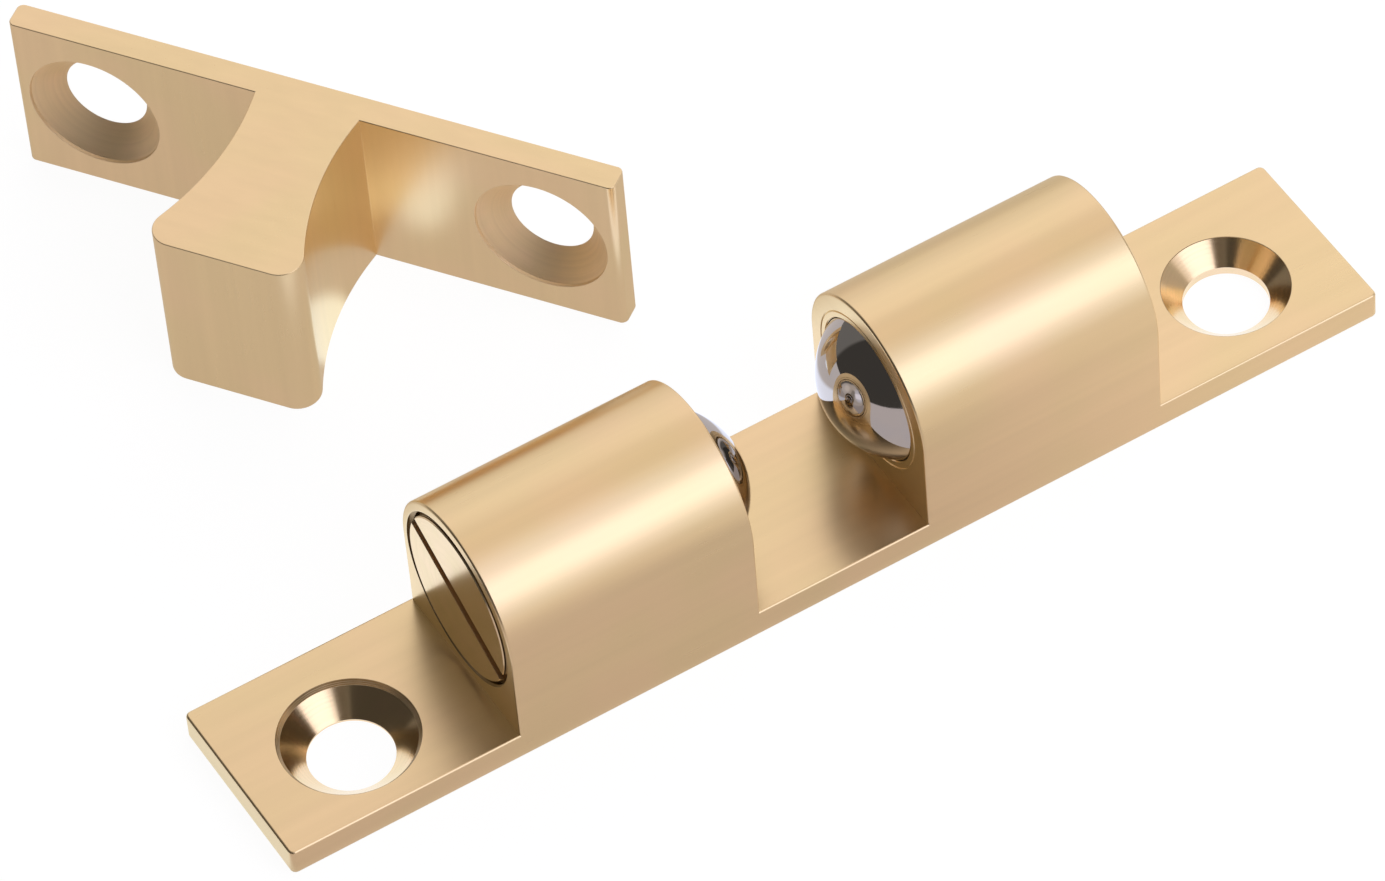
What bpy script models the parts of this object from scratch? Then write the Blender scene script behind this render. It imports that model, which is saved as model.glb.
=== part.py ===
"""Double ball catch with its strike, for a cupboard or wardrobe door.

The catch is milled from a horseshoe-section brass bar: two towers stand on a
screwed plate, and each is bored from its outer end for a steel ball, a
compression spring and a slotted adjusting screw. The strike is a short length
of T-section bar. Its waisted tongue pushes between the balls, and the balls
close behind its head.

Metres, +Z up. X runs along the catch, the strike stands behind it, and the
origin is the middle of the catch's underside.
"""

import math

import bmesh
import bpy
from mathutils import Matrix, Vector

MM = 0.001

# Catch plate and towers
PLATE_THICKNESS = 1.5 * MM
PLATE_CORNER_RADIUS = 0.3 * MM
EAR_LENGTH = 12.3 * MM
TOWER_GAP = 9.3 * MM
TOWER_LENGTH = 13.05 * MM
TOWER_WALL = 0.55 * MM
EDGE_BREAK = 0.12 * MM

# Screw holes, countersunk with a shallow entry step
SCREW_HOLE_DIAMETER = 4.2 * MM
CATCH_SINK_DIAMETER = 6.8 * MM
CATCH_HOLE_INSET = 5.7 * MM
CATCH_HOLE_SHIFT = 0.5 * MM
STRIKE_SINK_DIAMETER = 7.3 * MM
STRIKE_HOLE_LAND = 0.45 * MM
ENTRY_STEP_WIDTH = 0.22 * MM
ENTRY_STEP_DEPTH = 0.20 * MM
THROAT_LENGTH = 0.15 * MM

# Balls, springs and adjusting screws
BALL_DIAMETER = 8.4 * MM
BALL_STAND_OUT = 2.15 * MM
CLEARANCE = 0.25 * MM
WIRE_DIAMETER = 0.5 * MM
COIL_DIAMETER = 4.6 * MM
CLOSED_TURN_GAP = 0.15 * MM
ACTIVE_TURNS = 2
SCREW_LENGTH = 3.4 * MM
SCREW_RECESS = 0.10 * MM
SCREW_CHAMFER = 0.18 * MM
SLOT_WIDTH = 1.0 * MM
SLOT_DEPTH = 0.9 * MM
POCKET_WEB = 0.6 * MM
LEFT_SLOT_TILT = math.radians(60.0)
RIGHT_SLOT_TILT = math.radians(-35.0)

# Strike, whose tongue pushes down between the towers until its plate is close above them
STRIKE_LENGTH = 31.8 * MM
STRIKE_NARROWING = 0.2 * MM
STRIKE_THICKNESS = 1.45 * MM
STRIKE_CORNER_RADIUS = 0.35 * MM
TONGUE_OVERREACH = 0.3 * MM
TONGUE_SIDE_PLAY = 0.79 * MM
WAIST_SQUEEZE = 0.06 * MM
WAIST_REACH = 2.6 * MM
TONGUE_CORNER_RADIUS = 1.35 * MM
STRIKE_SHIFT = -9.4 * MM
STRIKE_SETBACK = 22.7 * MM
STRIKE_TURN = math.radians(-54.1)

# Roundness of turned and curved faces, and how tools cut
ARCH_STEPS = 40
TURN_STEPS = 64
BALL_RINGS = 20
FLANK_STEPS = 14
CORNER_STEPS = 6
COIL_STEPS = 20
SMOOTH_ANGLE = math.radians(30.0)
BROKEN_EDGE_ANGLE = math.radians(50.0)
MERGE_DISTANCE = 0.001 * MM
CUT_MARGIN = 2.0 * MM

# Catch sizes that follow from those above
BALL_RADIUS = BALL_DIAMETER / 2
BORE_RADIUS = BALL_RADIUS + CLEARANCE
BAR_WIDTH = 2 * (BORE_RADIUS + TOWER_WALL)
BORE_HEIGHT = PLATE_THICKNESS + TOWER_WALL + BORE_RADIUS
TOWER_TOP = BORE_HEIGHT + BAR_WIDTH / 2
TOWER_OUTER = TOWER_GAP / 2 + TOWER_LENGTH
PLATE_END = TOWER_OUTER + EAR_LENGTH
BALL_OFFSET = TOWER_GAP / 2 - BALL_STAND_OUT + BALL_RADIUS
SCREW_RADIUS = BORE_RADIUS - CLEARANCE
POCKET_RADIUS = (COIL_DIAMETER + WIRE_DIAMETER) / 2 + CLEARANCE
POCKET_DEPTH = SCREW_LENGTH - SLOT_DEPTH - POCKET_WEB
CLOSED_TURN_PITCH = WIRE_DIAMETER + CLOSED_TURN_GAP

# Strike sizes that follow from the gap it enters and the balls that close on it
STRIKE_HEIGHT = BAR_WIDTH - STRIKE_NARROWING
TONGUE_LENGTH = TOWER_TOP - PLATE_THICKNESS + TONGUE_OVERREACH
TONGUE_HEAD = TOWER_GAP - 2 * TONGUE_SIDE_PLAY
TONGUE_WAIST = TOWER_GAP - 2 * BALL_STAND_OUT + WAIST_SQUEEZE
STRIKE_HOLE_OFFSET = (STRIKE_LENGTH - STRIKE_SINK_DIAMETER) / 2 - STRIKE_HOLE_LAND
STRIKE_PLACE = Vector((STRIKE_SHIFT, BAR_WIDTH / 2 + STRIKE_SETBACK, 0.0))


# Shared tools

def finish(name, colour, roughness, metallic=1.0):
    """Make one piece's plain material."""
    material = bpy.data.materials.new(name + "_finish")
    material.use_nodes = True
    shader = material.node_tree.nodes["Principled BSDF"]
    shader.inputs["Base Color"].default_value = (*colour, 1.0)
    shader.inputs["Roughness"].default_value = roughness
    shader.inputs["Metallic"].default_value = metallic
    return material


def brass(name):
    return finish(name, (0.80, 0.61, 0.36), 0.30)


def ball_steel(name):
    return finish(name, (0.56, 0.56, 0.55), 0.08)


def spring_steel(name):
    return finish(name, (0.42, 0.42, 0.43), 0.35)


def add_object(name, data, material=None):
    """Link a mesh or curve to the scene as one named piece."""
    piece = bpy.data.objects.new(name, data)
    bpy.context.scene.collection.objects.link(piece)
    if material is not None:
        data.materials.append(material)
    return piece


def mesh_from(bm, name, smooth=True):
    """Turn a bmesh into a mesh with outward faces, its round faces shaded smooth."""
    bmesh.ops.recalc_face_normals(bm, faces=bm.faces)
    mesh = bpy.data.meshes.new(name)
    bm.to_mesh(mesh)
    bm.free()
    if smooth:
        mesh.shade_smooth()
        mesh.set_sharp_from_angle(angle=SMOOTH_ANGLE)
    return mesh


def arc(centre, radius, start, end, steps):
    """Points along an arc in a plane, from one angle to the other."""
    angles = [start + (end - start) * i / steps for i in range(steps + 1)]
    return [(centre[0] + radius * math.cos(a), centre[1] + radius * math.sin(a)) for a in angles]


def extruded(outline, depth):
    """Extrude a closed outline of 3D points along a vector."""
    bm = bmesh.new()
    face = bm.faces.new([bm.verts.new(p) for p in outline])
    result = bmesh.ops.extrude_face_region(bm, geom=[face])
    moved = [v for v in result["geom"] if isinstance(v, bmesh.types.BMVert)]
    bmesh.ops.translate(bm, verts=moved, vec=depth)
    return bm


def turned(profile, axis="X"):
    """Spin a profile of (along, radius) points that starts and ends on the axis."""
    bm = bmesh.new()
    verts = [bm.verts.new((along, 0.0, radius)) for along, radius in profile]
    edges = [bm.edges.new(pair) for pair in zip(verts, verts[1:])]
    bmesh.ops.spin(bm, geom=verts + edges, cent=(0, 0, 0), axis=(1, 0, 0), dvec=(0, 0, 0),
                   angle=math.tau, steps=TURN_STEPS, use_merge=True)
    bmesh.ops.remove_doubles(bm, verts=bm.verts, dist=MERGE_DISTANCE)
    if axis == "Z":
        bmesh.ops.rotate(bm, verts=bm.verts, matrix=Matrix.Rotation(math.radians(-90), 3, "Y"))
    return bm


def box(low, high):
    """A plain block between two corners."""
    bm = bmesh.new()
    bmesh.ops.create_cube(bm, size=1.0)
    size = Vector(high) - Vector(low)
    bmesh.ops.scale(bm, vec=size, verts=bm.verts)
    bmesh.ops.translate(bm, vec=(Vector(low) + Vector(high)) / 2, verts=bm.verts)
    return bm


def cut(piece, name, bm, place=None, smooth=True):
    """Cut a tool shape out of a piece with a Boolean."""
    tool = add_object(name, mesh_from(bm, name, smooth))
    tool.hide_render = True
    tool.display_type = "WIRE"
    if place is not None:
        tool.matrix_world = place
    boolean = piece.modifiers.new(name, "BOOLEAN")
    boolean.object = tool
    boolean.operation = "DIFFERENCE"
    boolean.solver = "EXACT"


def break_edges(piece, width):
    """Take the sharpness off a piece's corners."""
    bevel = piece.modifiers.new("edge_break", "BEVEL")
    bevel.width = width
    bevel.segments = 2
    bevel.limit_method = "ANGLE"
    bevel.angle_limit = BROKEN_EDGE_ANGLE


# Cutting tools

def ball_nosed_drill():
    """The bore with its round seat, along +X from the ball's centre at the origin."""
    nose = arc((0.0, 0.0), BORE_RADIUS, math.pi, math.pi / 2, TURN_STEPS // 4)
    nose[0] = (-BORE_RADIUS, 0.0)
    far = TOWER_OUTER - BALL_OFFSET + CUT_MARGIN
    return turned(nose + [(far, BORE_RADIUS), (far, 0.0)])


def countersink(sink_diameter, thickness):
    """A screw hole through a plate whose top face is at the origin, opening towards +Z."""
    rim = sink_diameter / 2
    hole = SCREW_HOLE_DIAMETER / 2
    ledge = rim - ENTRY_STEP_WIDTH
    throat = -thickness + THROAT_LENGTH
    profile = [
        (CUT_MARGIN, 0.0),
        (CUT_MARGIN, rim),
        (-ENTRY_STEP_DEPTH / 2, rim),
        (-ENTRY_STEP_DEPTH, ledge),
        (throat, hole),
        (-thickness - CUT_MARGIN, hole),
        (-thickness - CUT_MARGIN, 0.0),
    ]
    return turned(profile, axis="Z")


def corner_rounder(radius, thickness):
    """Takes an upright corner down to an arc. The arc's centre is at the origin, the corner at +X +Y."""
    far = radius + CUT_MARGIN
    outline = arc((0.0, 0.0), radius, 0.0, math.pi / 2, CORNER_STEPS // 2)
    outline += [(0.0, far), (far, far), (far, 0.0)]
    height = thickness + 2 * CUT_MARGIN
    return extruded([(x, y, -CUT_MARGIN) for x, y in outline], (0, 0, height))


# Catch body

def build_catch_body():
    """Mill the bar to a plate with two towers, then bore and drill it."""
    half = BAR_WIDTH / 2
    crown = arc((0.0, BORE_HEIGHT), half, 0.0, math.pi, ARCH_STEPS)
    section = [(-half, 0.0), (half, 0.0)] + crown
    bar = extruded([(-PLATE_END, y, z) for y, z in section], (2 * PLATE_END, 0, 0))
    body = add_object("catch_body", mesh_from(bar, "catch_body"), brass("catch_body"))

    side = half + CUT_MARGIN
    top = TOWER_TOP + CUT_MARGIN
    end = PLATE_END + CUT_MARGIN
    stretches = {
        "left_end_mill": (-end, -TOWER_OUTER),
        "middle_mill": (-TOWER_GAP / 2, TOWER_GAP / 2),
        "right_end_mill": (TOWER_OUTER, end),
    }
    for name, (start, stop) in stretches.items():
        mill = box((start, -side, PLATE_THICKNESS), (stop, side, top))
        cut(body, name, mill, smooth=False)
    for quarter, (x, y) in enumerate(((1, 1), (-1, 1), (-1, -1), (1, -1))):
        centre = (x * (PLATE_END - PLATE_CORNER_RADIUS), y * (half - PLATE_CORNER_RADIUS), 0)
        place = Matrix.Translation(centre) @ Matrix.Rotation(quarter * math.pi / 2, 4, "Z")
        rounder = corner_rounder(PLATE_CORNER_RADIUS, PLATE_THICKNESS)
        cut(body, f"plate_corner_{quarter}", rounder, place)
    break_edges(body, EDGE_BREAK)

    for name, direction in (("left", -1), ("right", 1)):
        place = Matrix.Translation((direction * BALL_OFFSET, 0, BORE_HEIGHT))
        if direction < 0:
            place = place @ Matrix.Rotation(math.pi, 4, "Z")
        cut(body, name + "_drill", ball_nosed_drill(), place)
        across = direction * (PLATE_END - CATCH_HOLE_INSET)
        centre = (across, -CATCH_HOLE_SHIFT, PLATE_THICKNESS)
        sink = countersink(CATCH_SINK_DIAMETER, PLATE_THICKNESS)
        cut(body, name + "_countersink", sink, Matrix.Translation(centre))
    return body


# Ball, spring and adjusting screw of one tower

def build_ball(side, direction):
    """The ball sits on its seat with part of it in the gap."""
    bm = bmesh.new()
    bmesh.ops.create_uvsphere(bm, u_segments=2 * BALL_RINGS, v_segments=BALL_RINGS,
                              radius=BALL_RADIUS)
    name = "ball_" + side
    ball = add_object(name, mesh_from(bm, name), ball_steel(name))
    ball.location = (direction * BALL_OFFSET, 0, BORE_HEIGHT)


def coil_points(length):
    """Centreline of a compression spring along +X, with one closed turn at each end."""
    radius = COIL_DIAMETER / 2
    turns = ACTIVE_TURNS + 2
    active_pitch = (length - 2 * CLOSED_TURN_PITCH) / ACTIVE_TURNS
    points = []
    for i in range(turns * COIL_STEPS + 1):
        turn = i / COIL_STEPS
        first = min(turn, 1.0)
        active = min(max(turn - 1.0, 0.0), ACTIVE_TURNS)
        last = max(turn - 1.0 - ACTIVE_TURNS, 0.0)
        along = (first + last) * CLOSED_TURN_PITCH + active * active_pitch
        angle = turn * math.tau
        points.append((along, radius * math.cos(angle), radius * math.sin(angle)))
    return points


def build_spring(side, direction):
    """The spring bears on the back of the ball and in the screw's pocket."""
    wire = WIRE_DIAMETER / 2
    reach = BALL_RADIUS + CLEARANCE + wire
    start = BALL_OFFSET + math.sqrt(reach ** 2 - (COIL_DIAMETER / 2) ** 2)
    pocket = TOWER_OUTER - SCREW_RECESS - SCREW_LENGTH + POCKET_DEPTH
    end = pocket - CLEARANCE - wire
    name = "spring_" + side
    curve = bpy.data.curves.new(name, "CURVE")
    curve.dimensions = "3D"
    curve.bevel_depth = wire
    curve.bevel_resolution = 2
    curve.use_fill_caps = True
    points = coil_points(end - start)
    spline = curve.splines.new("POLY")
    spline.points.add(len(points) - 1)
    for point, place in zip(spline.points, points):
        point.co = (*place, 1.0)
    spring = add_object(name, curve, spring_steel(name))
    spring.location = (direction * start, 0, BORE_HEIGHT)
    if direction < 0:
        spring.rotation_euler.z = math.pi


def build_adjuster(side, direction, slot_tilt):
    """The screw closes the bore: slotted outer face, cup for the spring inside."""
    inner_edge = SCREW_RADIUS - SCREW_CHAMFER
    profile = [
        (0.0, 0.0),
        (0.0, inner_edge),
        (-SCREW_CHAMFER, SCREW_RADIUS),
        (SCREW_CHAMFER - SCREW_LENGTH, SCREW_RADIUS),
        (-SCREW_LENGTH, inner_edge),
        (-SCREW_LENGTH, POCKET_RADIUS),
        (POCKET_DEPTH - SCREW_LENGTH, POCKET_RADIUS),
        (POCKET_DEPTH - SCREW_LENGTH, 0.0),
    ]
    name = "adjuster_" + side
    mesh = mesh_from(turned(profile), name)
    screw = add_object(name, mesh, brass(name))
    place = Matrix.Translation((direction * (TOWER_OUTER - SCREW_RECESS), 0, BORE_HEIGHT))
    if direction < 0:
        place = place @ Matrix.Rotation(math.pi, 4, "Z")
    screw.matrix_world = place
    reach = SCREW_RADIUS + CUT_MARGIN
    slot = box((-SLOT_DEPTH, -SLOT_WIDTH / 2, -reach), (CUT_MARGIN, SLOT_WIDTH / 2, reach))
    cut(screw, name + "_slot", slot, place @ Matrix.Rotation(slot_tilt, 4, "X"), smooth=False)


# Strike

def tongue_side():
    """One side of the tongue from its root: a hollow flank, then the rounded corner of the tip.

    The flank's arc touches the waist line and runs smoothly into the corner's arc.
    """
    corner = TONGUE_CORNER_RADIUS
    corner_centre = (TONGUE_HEAD / 2 - corner, TONGUE_LENGTH - corner)
    rise = corner_centre[1] - WAIST_REACH
    inset = TONGUE_WAIST / 2 - corner_centre[0]
    flank = (inset ** 2 + rise ** 2 - corner ** 2) / (2 * (corner - inset))
    flank_centre = (TONGUE_WAIST / 2 + flank, WAIST_REACH)
    lean = math.asin(rise / (flank + corner))
    root = math.pi + math.asin(WAIST_REACH / flank)
    side = arc(flank_centre, flank, root, math.pi - lean, FLANK_STEPS)
    tip = arc(corner_centre, corner, -lean, math.pi / 2, CORNER_STEPS)
    return side + tip[1:]


def strike_outline():
    """T-section in plan: the plate's front is at y = 0 and the tongue points to -Y."""
    end = STRIKE_LENGTH / 2
    radius = STRIKE_CORNER_RADIUS
    back = STRIKE_THICKNESS - radius
    side = [(across, -out) for across, out in tongue_side()]
    front_corner = arc((end - radius, radius), radius, -math.pi / 2, 0.0, CORNER_STEPS)
    back_corner = arc((end - radius, back), radius, 0.0, math.pi / 2, CORNER_STEPS)
    right = side[::-1] + front_corner + back_corner
    left = [(-x, y) for x, y in reversed(right)]
    return right + left


def build_strike():
    """Cut a length of T-section bar and countersink its two holes from the front."""
    place = Matrix.Translation(STRIKE_PLACE) @ Matrix.Rotation(STRIKE_TURN, 4, "Z")
    bar = extruded([(x, y, 0.0) for x, y in strike_outline()], (0, 0, STRIKE_HEIGHT))
    strike = add_object("strike_plate", mesh_from(bar, "strike_plate"), brass("strike_plate"))
    strike.matrix_world = place
    break_edges(strike, EDGE_BREAK)
    for name, direction in (("left", -1), ("right", 1)):
        centre = (direction * STRIKE_HOLE_OFFSET, 0, STRIKE_HEIGHT / 2)
        facing = Matrix.Translation(centre) @ Matrix.Rotation(math.pi / 2, 4, "X")
        sink = countersink(STRIKE_SINK_DIAMETER, STRIKE_THICKNESS)
        cut(strike, "strike_" + name + "_countersink", sink, place @ facing)
    return strike


def main():
    for old in list(bpy.data.objects):
        bpy.data.objects.remove(old)
    build_catch_body()
    for side, direction, slot_tilt in (("left", -1, LEFT_SLOT_TILT), ("right", 1, RIGHT_SLOT_TILT)):
        build_ball(side, direction)
        build_spring(side, direction)
        build_adjuster(side, direction, slot_tilt)
    build_strike()


main()
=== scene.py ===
"""Dresses a brass double ball catch and its strike for a studio picture.

The catch is a milled and bored horseshoe bar with a sprung steel ball and a
threaded, slotted adjusting screw in each tower. The strike is a short length
of T-section bar that stands behind it. Lengths are metres, +Z is up and X runs
along the catch. Patterns on the metal are worked out in millimetres.
"""

import functools
import logging
import math
from collections.abc import Callable, Iterable, Sequence
from dataclasses import dataclass, field
from enum import Enum

import bmesh
import bpy
from mathutils import Matrix, Vector


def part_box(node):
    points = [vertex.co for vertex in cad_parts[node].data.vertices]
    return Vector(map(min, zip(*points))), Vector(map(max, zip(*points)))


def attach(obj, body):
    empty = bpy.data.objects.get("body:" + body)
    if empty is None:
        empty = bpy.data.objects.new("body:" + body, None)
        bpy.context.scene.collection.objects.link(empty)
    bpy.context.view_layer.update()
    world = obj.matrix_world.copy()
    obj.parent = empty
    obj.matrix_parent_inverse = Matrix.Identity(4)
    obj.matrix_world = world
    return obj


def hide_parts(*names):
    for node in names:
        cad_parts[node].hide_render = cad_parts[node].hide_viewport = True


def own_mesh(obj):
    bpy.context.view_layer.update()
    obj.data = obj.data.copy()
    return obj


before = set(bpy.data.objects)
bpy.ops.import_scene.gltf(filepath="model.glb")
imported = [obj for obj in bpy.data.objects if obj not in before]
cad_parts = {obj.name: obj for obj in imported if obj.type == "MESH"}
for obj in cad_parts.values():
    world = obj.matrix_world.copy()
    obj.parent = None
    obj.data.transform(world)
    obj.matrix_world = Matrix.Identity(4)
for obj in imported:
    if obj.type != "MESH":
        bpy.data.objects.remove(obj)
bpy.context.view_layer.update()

MM = 0.001
LOG = logging.getLogger("ball_catch")

Colour = tuple[float, float, float]
Socket = bpy.types.NodeSocket
ORIGIN = (0.0, 0.0, 0.0)
X_AXIS = Vector((1.0, 0.0, 0.0))
Y_AXIS = Vector((0.0, 1.0, 0.0))
Z_AXIS = Vector((0.0, 0.0, 1.0))
QUARTER_TURN = math.pi / 2
LOOKS_ALONG = 0.95
SMOOTH_ANGLE = math.radians(32.0)
SEAM_ANGLE = math.radians(12.0)
MERGE_DISTANCE = 0.0005 * MM
CUT_MARGIN = 1.0 * MM
NUDGE = 0.002 * MM
MOST_TRIES = 12


class Side(Enum):
    """One end of the catch, with the way that it lies along X."""

    LEFT = -1
    RIGHT = 1

    @property
    def word(self) -> str:
        """The word that the side's pieces carry in their names."""
        return self.name.lower()

    def facing(self, along: float, height: float) -> Matrix:
        """Place a shape drawn along +X from the middle, so that it points out of this end.

        Args:
            along: distance of the shape's origin from the middle of the catch.
            height: height of the bore's axis.

        Returns:
            The matrix that puts the shape on the bore's axis.
        """
        turn = Matrix.Rotation(math.pi, 4, "Z") if self is Side.LEFT else Matrix.Identity(4)
        return Matrix.Translation((self.value * along, 0.0, height)) @ turn


class Cut(Enum):
    """What a Boolean tool does to the piece that it meets."""

    REMOVE = "DIFFERENCE"
    ADD = "UNION"
    KEEP = "INTERSECT"


# Drawing and shaping meshes


class Outline:
    """A chain of edges in one plane, drawn as straight runs and arcs."""

    def __init__(self, start: Sequence[float], axis: Vector) -> None:
        """Begin a chain.

        Args:
            start: the first point.
            axis: direction that the plane faces, about which arcs turn.
        """
        self.bm = bmesh.new()
        self.axis = axis
        self.tip = self.bm.verts.new(start)

    def to(self, *points: Sequence[float]) -> "Outline":
        """Draw straight runs through the given points."""
        for point in points:
            self.tip = bmesh.ops.extrude_vert_indiv(self.bm, verts=[self.tip])["verts"][0]
            self.tip.co = point
        return self

    def arc(self, centre: Sequence[float], angle: float, steps: int) -> "Outline":
        """Draw an arc from the end of the chain.

        Args:
            centre: the arc's centre.
            angle: how far it turns about the outline's axis.
            steps: number of edges in the arc.

        Returns:
            The outline itself, so that runs can follow each other.
        """
        spun = bmesh.ops.spin(self.bm, geom=[self.tip], cent=centre, axis=self.axis,
                              dvec=ORIGIN, angle=angle, steps=steps)
        self.tip = next(v for v in spun["geom_last"] if isinstance(v, bmesh.types.BMVert))
        return self

    def mirrored(self) -> "Outline":
        """Add the chain's mirror image across X, joined where the two meet."""
        bmesh.ops.mirror(self.bm, geom=self.bm.verts[:] + self.bm.edges[:], axis="X",
                         merge_dist=MERGE_DISTANCE)
        bmesh.ops.remove_doubles(self.bm, verts=self.bm.verts, dist=MERGE_DISTANCE)
        return self

    def closed(self) -> "Outline":
        """Join the two ends of the chain, if it has any."""
        ends = [v for v in self.bm.verts if len(v.link_edges) == 1]
        if ends:
            self.bm.edges.new(ends)
        return self

    def filled(self) -> bmesh.types.BMesh:
        """Close the chain and fill it with one face."""
        bmesh.ops.edgeloop_fill(self.closed().bm, edges=self.bm.edges)
        return self.bm

    def extruded(self, depth: Sequence[float]) -> bmesh.types.BMesh:
        """Fill the outline and draw it out to a bar along the given vector."""
        bm = self.filled()
        drawn = bmesh.ops.extrude_face_region(bm, geom=bm.faces[:])
        moved = [v for v in drawn["geom"] if isinstance(v, bmesh.types.BMVert)]
        bmesh.ops.translate(bm, verts=moved, vec=depth)
        bmesh.ops.recalc_face_normals(bm, faces=bm.faces)
        return bm

    def turned(self, axis: Vector, steps: int) -> bmesh.types.BMesh:
        """Spin the chain once round an axis through the origin."""
        bmesh.ops.spin(self.bm, geom=self.bm.verts[:] + self.bm.edges[:], cent=ORIGIN,
                       axis=axis, dvec=ORIGIN, angle=math.tau, steps=steps, use_merge=True)
        bmesh.ops.remove_doubles(self.bm, verts=self.bm.verts, dist=MERGE_DISTANCE)
        bmesh.ops.recalc_face_normals(self.bm, faces=self.bm.faces)
        return self.bm


def block(low: Sequence[float], high: Sequence[float]) -> bmesh.types.BMesh:
    """Make a rectangular block between two corners."""
    bm = bmesh.new()
    bmesh.ops.create_cube(bm, size=1.0)
    bmesh.ops.scale(bm, vec=Vector(high) - Vector(low), verts=bm.verts)
    bmesh.ops.translate(bm, vec=(Vector(low) + Vector(high)) / 2, verts=bm.verts)
    return bm


@dataclass(frozen=True)
class Thread:
    """A fine V thread along X, as the helical ridge that stands on a bar or cuts a bore."""

    pitch: float = 0.5 * MM
    base_share: float = 0.44
    crest_width: float = 0.08 * MM
    steps: int = 72

    def ridge(self, start: float, stop: float, root: float, crest: float) -> bmesh.types.BMesh:
        """Wind the ridge once for each pitch between two places along X.

        Args:
            start: where the ridge begins.
            stop: where it ends.
            root: radius at the foot of the ridge.
            crest: radius at its top.

        Returns:
            A closed coil with a flank on each side.
        """
        half, top = self.pitch * self.base_share, self.crest_width / 2
        section = Outline((start - half, 0.0, root), Y_AXIS)
        section.to((start - top, 0.0, crest), (start + top, 0.0, crest), (start + half, 0.0, root))
        bm = section.filled()
        turns = (stop - start) / self.pitch
        steps = round(turns * self.steps)
        bmesh.ops.spin(bm, geom=everything(bm), cent=ORIGIN,
                       axis=X_AXIS, dvec=((stop - start) / steps, 0.0, 0.0),
                       angle=turns * math.tau, steps=steps)
        bmesh.ops.recalc_face_normals(bm, faces=bm.faces)
        return bm


def placed(bm: bmesh.types.BMesh, place: Matrix) -> bmesh.types.BMesh:
    """Move a whole shape to its place."""
    bmesh.ops.transform(bm, matrix=place, verts=bm.verts)
    return bm


def everything(bm: bmesh.types.BMesh) -> list[object]:
    """List all faces, edges and corners of a shape."""
    return bm.faces[:] + bm.edges[:] + bm.verts[:]


def in_slot(bm: bmesh.types.BMesh, index: int) -> bmesh.types.BMesh:
    """Give every face of a shape one material slot."""
    for face in bm.faces:
        face.material_index = index
    return bm


def reslot(bm: bmesh.types.BMesh, old: int, new: int,
           chosen: Callable[[bmesh.types.BMFace], bool]) -> None:
    """Move the chosen faces of one material slot to another.

    Args:
        bm: the shape.
        old: the slot that they have.
        new: the slot that they get.
        chosen: tells whether a face moves.
    """
    bm.normal_update()
    for face in bm.faces:
        if face.material_index == old and chosen(face):
            face.material_index = new


def looks_along(way: Vector) -> Callable[[bmesh.types.BMFace], bool]:
    """Choose the faces that look along a line, either way."""
    return lambda face: abs(face.normal.dot(way)) > LOOKS_ALONG


def soften(bm: bmesh.types.BMesh, width: float, segments: int = 3, least: float = 50.0) -> None:
    """Round the outward edges of a shape that are sharper than an angle.

    Args:
        bm: the shape.
        width: size of the rounded strip on each face.
        segments: number of strips in the rounding.
        least: smallest angle in degrees between faces that counts as an edge.
    """
    bm.normal_update()
    outward = [e for e in bm.edges if e.is_manifold and e.is_convex]
    sharp = [e for e in outward if e.calc_face_angle() > math.radians(least)]
    bmesh.ops.bevel(bm, geom=sharp, offset=width, segments=segments, profile=0.5,
                    affect="EDGES", material=-1, clamp_overlap=True)


def piece_from(bm: bmesh.types.BMesh, name: str, materials: Iterable[bpy.types.Material],
               level_faces: bool = True) -> bpy.types.Object:
    """Turn a shape into an object at the origin, shaded smooth between its real edges.

    Args:
        bm: the finished shape, which is used up.
        name: the object's name.
        materials: its material slots in order.
        level_faces: whether large faces keep their own direction where they meet roundings.

    Returns:
        The new object.
    """
    for face in bm.faces:
        face.smooth = True
    for edge in bm.edges:
        finishes = {face.material_index for face in edge.link_faces}
        limit = SMOOTH_ANGLE if len(finishes) == 1 else SEAM_ANGLE
        edge.smooth = edge.is_manifold and edge.calc_face_angle() < limit
    mesh = bpy.data.meshes.new(name)
    bm.to_mesh(mesh)
    bm.free()
    piece = bpy.data.objects.new(name, mesh)
    bpy.context.scene.collection.objects.link(piece)
    for material in materials:
        mesh.materials.append(material)
    if level_faces:
        weighted = piece.modifiers.new("level_faces", "WEIGHTED_NORMAL")
        weighted.keep_sharp = True
    return piece


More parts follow.
